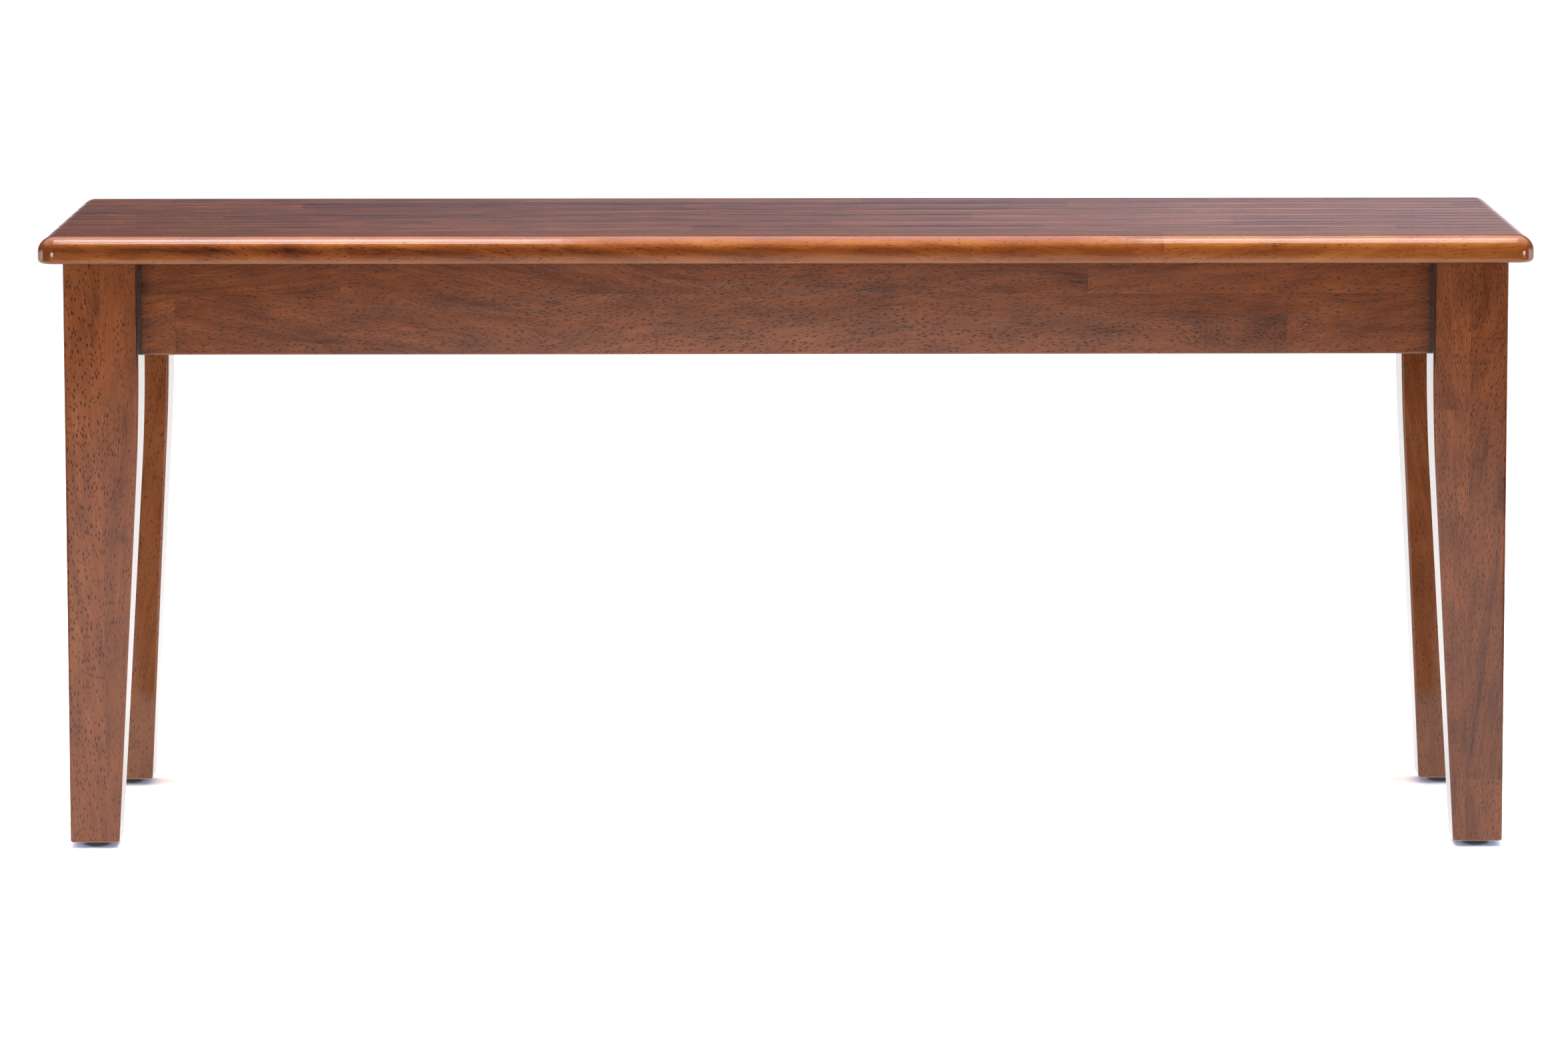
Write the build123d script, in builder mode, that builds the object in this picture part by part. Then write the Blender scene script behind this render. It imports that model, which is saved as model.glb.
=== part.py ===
from build123d import *
import os
from math import atan, cos, sin, sqrt

# A knock-down shaker bench of edge-glued rubberwood, in millimetres.
# The origin is on the floor under the middle of the seat. X runs along the bench, and -Y is its front.

# Seat
seat_length = 1100
seat_depth = 350
seat_thickness = 20
seat_height = 457
seat_board_count = 7
seat_top_round = 12
seat_bottom_round = 3.5
seat_edge_land = 1
seat_corner_ease = 1

# Legs
end_overhang = 18
side_overhang = 14
leg_width = 55
leg_foot_width = 36.5
leg_taper_blend = 90
leg_edge_round = 2
leg_flat_margin = 2

# Aprons
apron_height = 70
apron_thickness = 20
apron_upper_strip_height = 25
apron_edge_round = 1.5

# Corner blocks
block_reveal = 10
block_thickness = 25
block_leg_gap = 4

# Centre brace and its dowels
brace_width = 60
brace_thickness = 20
brace_edge_round = 1.5
dowel_radius = 4
dowel_brace_depth = 15
dowel_skin = 8
dowel_end_chamfer = 1
dowel_inset = 14

# Leg bolts, washers and nuts
bolt_radius = 3
bolt_bite = 30
bolt_tip_chamfer = 2
bolt_end_chamfer = 0.7
bolt_stick_out = 4
washer_radius = 6.25
washer_thickness = 1.6
spring_washer_radius = 5.2
spring_washer_thickness = 2
spring_washer_slit = 1
nut_radius = 5
nut_thickness = 5.2
nut_chamfer = 0.6

# Wood screws
screw_radius = 1.8
screw_tip_chamfer = 1.2
screw_head_radius = 3.8
screw_head_height = 2.6
screw_head_round = 1.2
screw_recess_width = 0.9
screw_recess_length = 4.4
screw_recess_depth = 1.5
apron_screw_grip = 10
apron_screw_skin = 5
block_screw_grip = 23
block_screw_offset = 14
seat_screw_skin = 7
brace_screw_sink = 4
brace_screw_margin = 33.5
brace_screw_count = 3

# Glides and their nails
glide_radius = 10
glide_height = 4.5
glide_edge_round = 1.5
nail_radius = 1.1
nail_head_radius = 4
nail_head_height = 1.2
nail_cover = 1.5
nail_bite = 16
nail_tip_chamfer = 0.7

# Fits
thread_clearance = 0.1
bolt_clearance = 0.5
head_clearance = 0.5
dowel_clearance = 0.1
end_gap = 0.5
overrun = 1

# Shares: how high bolts and screws sit on a corner block
block_level_shares = (0.25, 0.75)

# Levels, faces and lengths that follow from the sizes above
seat_underside = seat_height - seat_thickness
apron_bottom = seat_underside - apron_height
strip_line = seat_underside - apron_upper_strip_height
board_depth = seat_depth / seat_board_count
leg_outer_x = seat_length / 2 - end_overhang
leg_outer_y = seat_depth / 2 - side_overhang
leg_inner_x = leg_outer_x - leg_width
leg_inner_y = leg_outer_y - leg_width
leg_layer_line = leg_outer_x - leg_width / 2
apron_setback = (leg_width - apron_thickness) / 2
end_apron_inner_x = leg_outer_x - apron_setback - apron_thickness
long_apron_inner_y = leg_outer_y - apron_setback - apron_thickness
foot_centre = (leg_outer_x - leg_foot_width / 2, leg_outer_y - leg_foot_width / 2)

# Corner blocks: their lands on the aprons are measured from where the aprons' inner faces would meet.
leg_flat = leg_width - apron_setback - apron_thickness
block_land_start = leg_flat + block_leg_gap * sqrt(2)
block_land_end = block_land_start + block_thickness * sqrt(2)
block_land_middle = (block_land_start + block_land_end) / 2
block_bottom = apron_bottom + block_reveal
block_height = seat_underside - block_bottom
block_levels = [block_bottom + block_height * share for share in block_level_shares]

# Hardware along a leg bolt, measured from the leg's flat towards the middle of the bench
block_far_side = block_leg_gap + block_thickness
spring_washer_start = block_far_side + washer_thickness
nut_start = spring_washer_start + spring_washer_thickness
bolt_end = nut_start + nut_thickness + bolt_stick_out

# Screws: how far each goes into the wood beyond the piece that it grips
apron_screw_bite = apron_thickness - apron_screw_skin
seat_screw_bite = seat_thickness - seat_screw_skin
brace_screw_grip = brace_thickness - brace_screw_sink
dowel_apron_depth = apron_thickness - dowel_skin

# Everything at a corner is laid out at the rear right one, whose X and Y are both positive.
# A bolt plane lies on the leg's flat and faces the middle of the bench.
bolt_planes = [
    Plane(
        origin=(end_apron_inner_x - leg_flat / 2, long_apron_inner_y - leg_flat / 2, level),
        x_dir=(1, -1, 0),
        z_dir=(-1, -1, 0),
    )
    for level in block_levels
]
block_far_planes = [plane.offset(block_far_side) for plane in bolt_planes]

# A screw plane lies under the screw's head and faces back towards its driver.
long_apron_screw_planes = [
    Plane(
        origin=(end_apron_inner_x - block_land_middle, long_apron_inner_y - apron_screw_grip, level),
        z_dir=(0, -1, 0),
    )
    for level in block_levels
]
end_apron_screw_planes = [
    Plane(
        origin=(end_apron_inner_x - apron_screw_grip, long_apron_inner_y - block_land_middle, level),
        z_dir=(-1, 0, 0),
    )
    for level in block_levels
]
apron_screw_planes = long_apron_screw_planes + end_apron_screw_planes
block_middle_plane = bolt_planes[0].offset(block_leg_gap + block_thickness / 2)
block_screw_offsets = (-block_screw_offset, block_screw_offset)
block_screw_places = [block_middle_plane.from_local_coords((offset, 0, 0)) for offset in block_screw_offsets]
block_screw_planes = [
    Plane(origin=(place.X, place.Y, seat_underside - block_screw_grip), z_dir=(0, 0, -1))
    for place in block_screw_places
]
brace_screw_spacing = 2 * (long_apron_inner_y - brace_screw_margin) / (brace_screw_count - 1)
brace_screw_rows = [
    (number - (brace_screw_count - 1) / 2) * brace_screw_spacing for number in range(brace_screw_count)
]
brace_screw_planes = [
    Plane(origin=(0, row, seat_underside - brace_screw_grip), z_dir=(0, 0, -1)) for row in brace_screw_rows
]
dowel_plane = Plane(
    origin=(brace_width / 2 - dowel_inset, long_apron_inner_y, seat_underside - brace_thickness / 2),
    z_dir=(0, -1, 0),
)
foot_plane = Plane(origin=(*foot_centre, glide_height), z_dir=(0, 0, -1))

# The corners, each with the planes that the rear right one is mirrored in
corners = {
    "rear_right": [],
    "rear_left": [Plane.YZ],
    "front_right": [Plane.XZ],
    "front_left": [Plane.YZ, Plane.XZ],
}

os.makedirs("parts", exist_ok=True)


def save(piece, name):
    """Labels a finished piece and writes it under its name."""
    piece.label = name
    export_step(piece, f"parts/{name}.step")


def save_at_corners(piece, name):
    """Writes a rear right piece as a separate piece at each corner."""
    for corner, mirrors in corners.items():
        with BuildPart() as corner_piece:
            add(piece)
            for plane in mirrors:
                mirror(about=plane, mode=Mode.REPLACE)
        save(corner_piece.part, f"{corner}_{name}")


def save_as_group(piece, name):
    """Writes rear right pieces and their mirror images at the other corners as one group."""
    with BuildPart() as group:
        add(piece)
        mirror(about=Plane.YZ)
        mirror(about=Plane.XZ)
    save(group.part, name)


# Seat: one slab with its screw holes, cut along its glue lines
seat_corner_round = seat_top_round + seat_corner_ease
top_round = min(seat_top_round, seat_thickness - seat_bottom_round - seat_edge_land)
with BuildPart() as seat:
    with BuildSketch(Plane.XY.offset(seat_underside)):
        RectangleRounded(seat_length, seat_depth, seat_corner_round)
    extrude(amount=seat_thickness)
    fillet(seat.faces().sort_by(Axis.Z)[-1].edges(), radius=top_round)
    fillet(seat.faces().sort_by(Axis.Z)[0].edges(), radius=seat_bottom_round)
    with BuildSketch(Plane.XY.offset(seat_underside - overrun)):
        with Locations(*[(0, row) for row in brace_screw_rows]):
            Circle(screw_radius + thread_clearance)
        with Locations(*[(place.X, place.Y) for place in block_screw_places]):
            Circle(screw_radius + thread_clearance)
        mirror(about=Plane.YZ)
        mirror(about=Plane.XZ)
    extrude(amount=overrun + seat_screw_bite + end_gap, mode=Mode.SUBTRACT)

for number in range(seat_board_count):
    with BuildPart() as seat_board:
        add(seat.part)
        with BuildSketch(Plane.XY.offset(seat_underside)):
            with Locations((0, number * board_depth - seat_depth / 2)):
                Rectangle(seat_length, board_depth, align=(Align.CENTER, Align.MIN))
        extrude(amount=seat_thickness, mode=Mode.INTERSECT)
    save(seat_board.part, f"seat_board_{number + 1}")


# Legs: straight outer faces, and inner faces that curve into a taper below the aprons
def leg_side_view(plane, outer):
    """One side view of a leg whose outer face is this far from the middle of the bench."""
    inner = outer - leg_width
    foot_inner = outer - leg_foot_width
    bend_level = apron_bottom - leg_taper_blend / 2
    taper = atan((foot_inner - inner) / (bend_level - glide_height))
    blend_end = (
        inner + leg_taper_blend / 2 * sin(taper),
        bend_level - leg_taper_blend / 2 * cos(taper),
    )
    with BuildSketch(plane) as view:
        with BuildLine():
            TangentArc((inner, apron_bottom), blend_end, tangent=(0, -1))
            Polyline(
                blend_end,
                (foot_inner, glide_height),
                (outer, glide_height),
                (outer, seat_underside),
                (inner, seat_underside),
                (inner, apron_bottom),
            )
        make_face()
    return view.sketch


with BuildPart() as leg:
    extrude(leg_side_view(Plane.XZ, leg_outer_x), amount=seat_depth, both=True)
    extrude(leg_side_view(Plane.YZ, leg_outer_y), amount=seat_length, both=True, mode=Mode.INTERSECT)
    fillet(leg.edges() - leg.faces().sort_by(Axis.Z)[-1].edges(), radius=leg_edge_round)
    # The flat that the bolts pull on, hidden behind the aprons
    with BuildSketch(Plane.XY.offset(block_bottom - leg_flat_margin)):
        with BuildLine():
            Polyline(
                (leg_inner_x - overrun, leg_inner_y - overrun),
                (leg_inner_x + leg_flat + overrun, leg_inner_y - overrun),
                (leg_inner_x - overrun, leg_inner_y + leg_flat + overrun),
                close=True,
            )
        make_face()
    extrude(amount=leg_flat_margin + block_height + overrun, mode=Mode.SUBTRACT)
    with Locations(*bolt_planes):
        Hole(bolt_radius + thread_clearance, depth=bolt_bite + end_gap)
    with Locations(foot_plane):
        Hole(nail_radius + thread_clearance, depth=nail_bite + end_gap)

for layer, side in {"outer_layer": Keep.TOP, "inner_layer": Keep.BOTTOM}.items():
    with BuildPart() as leg_layer:
        add(leg.part)
        split(bisect_by=Plane.YZ.offset(leg_layer_line), keep=side)
    save_at_corners(leg_layer.part, f"leg_{layer}")


# Aprons: half of each with its holes, mirrored to the whole and cut along its glue line
def save_strips(apron, name, facing_name, mirror_plane):
    """Writes an apron's two strips, and the two of the apron that faces it."""
    for strip, side in {"upper_strip": Keep.TOP, "lower_strip": Keep.BOTTOM}.items():
        with BuildPart() as near_strip:
            add(apron)
            split(bisect_by=Plane.XY.offset(strip_line), keep=side)
        with BuildPart() as facing_strip:
            add(near_strip.part)
            mirror(about=mirror_plane, mode=Mode.REPLACE)
        save(near_strip.part, f"{name}_apron_{strip}")
        save(facing_strip.part, f"{facing_name}_apron_{strip}")


with BuildPart() as long_apron:
    with BuildSketch(Plane.XY.offset(apron_bottom)):
        with Locations((0, long_apron_inner_y)):
            Rectangle(leg_inner_x, apron_thickness, align=Align.MIN)
    extrude(amount=apron_height)
    fillet(long_apron.edges().filter_by(Axis.X).group_by(Axis.Z)[0], radius=apron_edge_round)
    with Locations(*[plane.offset(-apron_screw_grip) for plane in long_apron_screw_planes]):
        Hole(screw_radius + thread_clearance, depth=apron_screw_bite + end_gap)
    with Locations(dowel_plane):
        Hole(dowel_radius + dowel_clearance, depth=dowel_apron_depth + end_gap)
    mirror(about=Plane.YZ)
save_strips(long_apron.part, "rear", "front", Plane.XZ)

with BuildPart() as end_apron:
    with BuildSketch(Plane.XY.offset(apron_bottom)):
        with Locations((end_apron_inner_x, 0)):
            Rectangle(apron_thickness, leg_inner_y, align=Align.MIN)
    extrude(amount=apron_height)
    fillet(end_apron.edges().filter_by(Axis.Y).group_by(Axis.Z)[0], radius=apron_edge_round)
    with Locations(*[plane.offset(-apron_screw_grip) for plane in end_apron_screw_planes]):
        Hole(screw_radius + thread_clearance, depth=apron_screw_bite + end_gap)
    mirror(about=Plane.XZ)
save_strips(end_apron.part, "right", "left", Plane.YZ)

# Corner blocks: square to the leg bolts, with a land on each apron
head_hole_radius = screw_head_radius + head_clearance
with BuildPart() as corner_block:
    with BuildSketch(Plane.XY.offset(block_bottom)):
        with BuildLine():
            Polyline(
                (end_apron_inner_x - block_land_start, long_apron_inner_y),
                (end_apron_inner_x - block_land_end, long_apron_inner_y),
                (end_apron_inner_x, long_apron_inner_y - block_land_end),
                (end_apron_inner_x, long_apron_inner_y - block_land_start),
                close=True,
            )
        make_face()
    extrude(amount=block_height)
    with Locations(*block_far_planes):
        Hole(bolt_radius + bolt_clearance, depth=block_thickness + overrun)
    apron_head_depth = block_land_end - apron_screw_grip
    with Locations(*[plane.offset(apron_head_depth) for plane in apron_screw_planes]):
        CounterBoreHole(
            radius=screw_radius + thread_clearance,
            counter_bore_radius=head_hole_radius,
            counter_bore_depth=apron_head_depth,
            depth=block_land_end + overrun,
        )
    seat_head_depth = block_height - block_screw_grip
    with Locations(*[plane.offset(seat_head_depth) for plane in block_screw_planes]):
        CounterBoreHole(
            radius=screw_radius + thread_clearance,
            counter_bore_radius=head_hole_radius,
            counter_bore_depth=seat_head_depth,
            depth=block_height + overrun,
        )
save_at_corners(corner_block.part, "corner_block")

# Centre brace: a quarter with its holes, mirrored to the whole
with BuildPart() as centre_brace:
    with BuildSketch(Plane.XY.offset(seat_underside - brace_thickness)):
        Rectangle(brace_width / 2, long_apron_inner_y, align=Align.MIN)
    extrude(amount=brace_thickness)
    fillet(
        centre_brace.edges().filter_by(Axis.Y).group_by(Axis.Z)[0].sort_by(Axis.X)[-1],
        radius=brace_edge_round,
    )
    with Locations(*[plane.offset(brace_screw_sink) for plane in brace_screw_planes]):
        CounterBoreHole(
            radius=screw_radius + thread_clearance,
            counter_bore_radius=head_hole_radius,
            counter_bore_depth=brace_screw_sink,
            depth=brace_thickness + overrun,
        )
    with BuildSketch(dowel_plane):
        Circle(dowel_radius + dowel_clearance)
    extrude(amount=dowel_brace_depth + end_gap, mode=Mode.SUBTRACT)
    mirror(about=Plane.YZ)
    mirror(about=Plane.XZ)
save(centre_brace.part, "centre_brace")

with BuildPart() as corner_dowel:
    with BuildSketch(dowel_plane.offset(-dowel_apron_depth)):
        Circle(dowel_radius)
    extrude(amount=dowel_apron_depth + dowel_brace_depth)
    chamfer(corner_dowel.edges().filter_by(GeomType.CIRCLE), length=dowel_end_chamfer)
save_as_group(corner_dowel.part, "brace_dowels")

# Leg bolts: hanger bolts, screwed into the leg and drawn up by a nut
with BuildPart() as hanger_bolt:
    with BuildSketch(Plane.XY.offset(-bolt_bite)):
        Circle(bolt_radius)
    extrude(amount=bolt_bite + bolt_end)
    chamfer(hanger_bolt.edges().sort_by(Axis.Z)[0], length=bolt_tip_chamfer)
    chamfer(hanger_bolt.edges().sort_by(Axis.Z)[-1], length=bolt_end_chamfer)

with BuildPart() as washer:
    with BuildSketch(Plane.XY.offset(block_far_side)):
        Circle(washer_radius)
        Circle(bolt_radius + bolt_clearance, mode=Mode.SUBTRACT)
    extrude(amount=washer_thickness)

with BuildPart() as spring_washer:
    with BuildSketch(Plane.XY.offset(spring_washer_start)):
        Circle(spring_washer_radius)
        Circle(bolt_radius + bolt_clearance, mode=Mode.SUBTRACT)
        Rectangle(
            spring_washer_radius + overrun,
            spring_washer_slit,
            align=(Align.MIN, Align.CENTER),
            mode=Mode.SUBTRACT,
        )
    extrude(amount=spring_washer_thickness)

with BuildPart() as nut:
    with BuildSketch(Plane.XY.offset(nut_start)):
        RegularPolygon(nut_radius, side_count=6, major_radius=False)
    extrude(amount=nut_thickness)
    chamfer(nut.faces().sort_by(Axis.Z)[-1].edges(), length=nut_chamfer)
    with Locations((0, 0, nut_start + nut_thickness)):
        Hole(bolt_radius + thread_clearance, depth=nut_thickness + overrun)

leg_hardware = {
    "leg_bolts": hanger_bolt,
    "leg_bolt_washers": washer,
    "leg_bolt_spring_washers": spring_washer,
    "leg_bolt_nuts": nut,
}
for name, item in leg_hardware.items():
    with BuildPart() as corner_items:
        with Locations(*bolt_planes):
            add(item.part)
    save_as_group(corner_items.part, name)


# Wood screws: a rounded head with a cross recess, and a shank under it
def wood_screw(length):
    """A screw that points down, with the underside of its head at level zero."""
    with BuildPart() as screw:
        with BuildSketch():
            Circle(screw_head_radius)
        extrude(amount=screw_head_height)
        fillet(screw.edges().sort_by(Axis.Z)[-1], radius=screw_head_round)
        with BuildSketch(Plane.XY.offset(screw_head_height - screw_recess_depth)):
            Rectangle(screw_recess_length, screw_recess_width)
            Rectangle(screw_recess_width, screw_recess_length)
        extrude(amount=screw_recess_depth, mode=Mode.SUBTRACT)
        with BuildSketch():
            Circle(screw_radius)
        extrude(amount=-length)
        chamfer(screw.edges().sort_by(Axis.Z)[0], length=screw_tip_chamfer)
    return screw.part


with BuildPart() as apron_screws:
    with Locations(*apron_screw_planes):
        add(wood_screw(apron_screw_grip + apron_screw_bite))
save_as_group(apron_screws.part, "corner_block_to_apron_screws")

with BuildPart() as block_screws:
    with Locations(*block_screw_planes):
        add(wood_screw(block_screw_grip + seat_screw_bite))
save_as_group(block_screws.part, "corner_block_to_seat_screws")

with BuildPart() as brace_screws:
    with Locations(*brace_screw_planes):
        add(wood_screw(brace_screw_grip + seat_screw_bite))
save(brace_screws.part, "brace_to_seat_screws")


# Glides: a moulded foot around the head of a nail
def glide_nail(clearance):
    """A glide's nail with its head down, or the hollow that holds it where clearance isn't zero."""
    with BuildPart() as nail:
        with BuildSketch(Plane(origin=(*foot_centre, nail_cover))):
            Circle(nail_head_radius + clearance)
        extrude(amount=nail_head_height)
        with BuildSketch(Plane(origin=(*foot_centre, nail_cover))):
            Circle(nail_radius + clearance)
        extrude(amount=glide_height - nail_cover + nail_bite)
    return nail.part


with BuildPart() as nail:
    add(glide_nail(0))
    chamfer(nail.edges().sort_by(Axis.Z)[-1], length=nail_tip_chamfer)
save_as_group(nail.part, "glide_nails")

with BuildPart() as glide:
    with BuildSketch(Plane(origin=foot_centre)):
        Circle(glide_radius)
    extrude(amount=glide_height)
    fillet(glide.edges().sort_by(Axis.Z)[0], radius=glide_edge_round)
    add(glide_nail(thread_clearance), mode=Mode.SUBTRACT)
save_at_corners(glide.part, "glide")
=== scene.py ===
"""A shaker bench of walnut-stained rubberwood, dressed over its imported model.

Sizes are in millimetres until a mesh is finished, and a finished mesh is in metres. The bench stands on
the floor with its middle over the origin. X runs along it, and -Y is its front.
"""

from __future__ import annotations

import logging
import math
from abc import ABC, abstractmethod
from collections.abc import Iterable
from dataclasses import dataclass, field, replace
from enum import Enum
from functools import partial

import bmesh
import bpy
from mathutils import Matrix, Vector

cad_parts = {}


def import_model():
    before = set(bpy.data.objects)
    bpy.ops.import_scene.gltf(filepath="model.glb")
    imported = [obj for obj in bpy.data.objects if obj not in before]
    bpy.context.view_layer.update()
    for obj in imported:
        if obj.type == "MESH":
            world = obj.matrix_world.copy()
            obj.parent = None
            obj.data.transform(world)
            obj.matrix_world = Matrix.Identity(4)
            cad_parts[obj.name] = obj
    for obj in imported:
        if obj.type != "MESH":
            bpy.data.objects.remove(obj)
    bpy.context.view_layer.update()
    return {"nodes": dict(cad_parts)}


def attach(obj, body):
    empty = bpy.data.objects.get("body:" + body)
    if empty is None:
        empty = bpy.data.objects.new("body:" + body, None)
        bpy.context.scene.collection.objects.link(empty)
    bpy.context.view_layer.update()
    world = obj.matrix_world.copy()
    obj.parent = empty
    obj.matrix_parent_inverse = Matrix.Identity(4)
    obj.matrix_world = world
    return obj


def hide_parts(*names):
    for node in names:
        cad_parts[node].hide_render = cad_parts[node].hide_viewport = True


logger = logging.getLogger("shaker_bench")

Tree = bpy.types.NodeTree
Socket = bpy.types.NodeSocket
Mesh = bmesh.types.BMesh
Point = tuple[float, float, float]

MM = 0.001

# How near a plane or a face counts as on it, and how near two points count as one, in millimetres.
ON_PLANE = 1e-4
ON_FACE = 0.01
WELD = 0.002


class Slot(Enum):
    """The record's material slots."""

    STAINED_WOOD = "walnut_stained_rubberwood"
    PLAIN_WOOD = "plain_rubberwood"
    DOWEL_WOOD = "beech_dowel"
    STEEL = "zinc_plated_steel"
    NYLON = "moulded_nylon"


class Grain(Enum):
    """Which way a piece's grain runs, as the turn that brings it to X."""

    ALONG_BENCH = (0.0, 0.0, 0.0)
    ACROSS_BENCH = (0.0, 0.0, -90.0)
    UPRIGHT = (0.0, 90.0, 0.0)
    FALLING_DIAGONAL = (0.0, 0.0, 45.0)
    RISING_DIAGONAL = (0.0, 0.0, -45.0)

    @property
    def turn(self) -> Point:
        """The turn in radians."""
        return tuple(math.radians(angle) for angle in self.value)


def linear(colour: str) -> tuple[float, float, float, float]:
    """Turns an sRGB colour into linear light.

    Args:
        colour: The colour in hex, such as #80523b.

    Returns:
        Linear red, green, blue and alpha.
    """
    channels = [int(colour[start : start + 2], 16) / 255 for start in (1, 3, 5)]
    red, green, blue = (c / 12.92 if c <= 0.04045 else ((c + 0.055) / 1.055) ** 2.4 for c in channels)
    return red, green, blue, 1.0


def add_node(
    tree: Tree, kind: str, inputs: dict | Iterable = (), **settings: object
) -> bpy.types.NodeOutputs:
    """Adds a node to a tree, sets it and links it.

    Args:
        tree: The tree that gets the node.
        kind: The node's type after ShaderNode, such as Math.
        inputs: What the inputs get, in order, or each by its name or number. A socket is linked, and
            anything else is the input's value. A Mix of colours has them at 6 and 7 and its result at 2.
        settings: The node's own settings by name.

    Returns:
        The node's outputs.
    """
    node = tree.nodes.new(f"ShaderNode{kind}")
    for name, value in settings.items():
        setattr(node, name, value)
    for key, value in inputs.items() if isinstance(inputs, dict) else enumerate(inputs):
        if isinstance(value, Socket):
            tree.links.new(value, node.inputs[key])
        else:
            node.inputs[key].default_value = value
    return node.outputs


def new_material(name: str) -> tuple[bpy.types.Material, Tree]:
    """Makes an empty material.

    Args:
        name: The material's name.

    Returns:
        The material and its tree.
    """
    material = bpy.data.materials.new(name)
    material.use_nodes = True
    material.node_tree.nodes.clear()
    return material, material.node_tree


def end_material(tree: Tree, shader_inputs: dict) -> None:
    """Ends a material's tree with its shader and output."""
    shader = add_node(tree, "BsdfPrincipled", shader_inputs)[0]
    add_node(tree, "OutputMaterial", {"Surface": shader})


@dataclass(frozen=True)
class Pattern:
    """Noise drawn out along the grain: its length and width in millimetres, and its octaves of detail."""

    length: float
    width: float
    detail: float = 2.0

    def stretch(self, tree: Tree, point: Socket) -> Socket:
        """Counts a grain point in the pattern's lengths along the grain and its widths across it."""
        scale = (1 / self.length, 1 / self.width, 1 / self.width)
        return add_node(tree, "VectorMath", (point, scale), operation="MULTIPLY")[0]

    def noise(self, tree: Tree, point: Socket) -> bpy.types.NodeOutputs:
        """Draws the noise at a grain point."""
        place = self.stretch(tree, point)
        return add_node(tree, "TexNoise", {"Vector": place, "Scale": 1.0, "Detail": self.detail})


@dataclass(frozen=True)
class Swirl:
    """A place where the grain goes round something, such as a small knot. Its darkness also serves as painted
    shade in corners, and below zero as a painted highlight.
    """

    along: float
    side: float
    reach: tuple[float, float]
    push: float = 0.0
    darkness: float = 0.0


@dataclass(frozen=True)
class Cut:
    """How one piece of rubberwood was cut and glued up from staves. Places are measured from its centre."""

    name: str
    grain: Grain
    centre: Point
    lot: float
    first_joint: float = -200.0
    stave_length: float = 400.0
    tone: float = 0.0
    pore_share: float = 0.5
    pore_scale: float = 1.0
    streak_scale: float = 1.0
    waviness: float = 7.0
    contrast: float = 1.0
    swirls: tuple[Swirl, ...] = ()

    def grain_point(self, tree: Tree) -> Socket:
        """Measures from the piece's centre, in millimetres.

        Args:
            tree: The material's tree.

        Returns:
            The point with the grain along X.
        """
        turn = self.grain.turn
        centre = Vector(self.centre)
        centre.rotate(Matrix.Rotation(turn[1], 3, "Y") @ Matrix.Rotation(turn[2], 3, "Z"))
        place = add_node(tree, "TexCoord")["Object"]
        moves = {"Vector": place, "Location": -centre, "Rotation": turn, "Scale": (1 / MM,) * 3}
        return add_node(tree, "Mapping", moves)[0]

    def swirl_sums(self, tree: Tree, point: Socket) -> dict[str, Socket | float]:
        """Adds up what the piece's swirls do at a point.

        Args:
            tree: The material's tree.
            point: The grain point.

        Returns:
            How far the grain is pushed aside in millimetres, and how much darker it is.
        """
        add = partial(add_node, tree)
        sums: dict[str, Socket | float] = {"push": 0.0, "darkness": 0.0}
        for swirl in self.swirls:
            away = add("VectorMath", (point, (swirl.along, 0.0, swirl.side)), operation="SUBTRACT")[0]
            reach = (1 / swirl.reach[0], 0.0, 1 / swirl.reach[1])
            shares = add("VectorMath", (away, reach), operation="MULTIPLY")[0]
            square = add("VectorMath", (shares, shares), operation="DOT_PRODUCT")["Value"]
            negative = add("Math", (square, -1.0), operation="MULTIPLY")[0]
            hill = add("Math", (negative,), operation="EXPONENT")[0]
            for name in sums:
                terms = (hill, getattr(swirl, name), sums[name])
                sums[name] = add("Math", terms, operation="MULTIPLY_ADD")[0]
        return sums


# What the figure is told about a cut, by the names of the cut's own values.
FIGURE_VALUES = (
    "lot",
    "first_joint",
    "stave_length",
    "tone",
    "pore_share",
    "pore_scale",
    "streak_scale",
    "waviness",
    "contrast",
)


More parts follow.
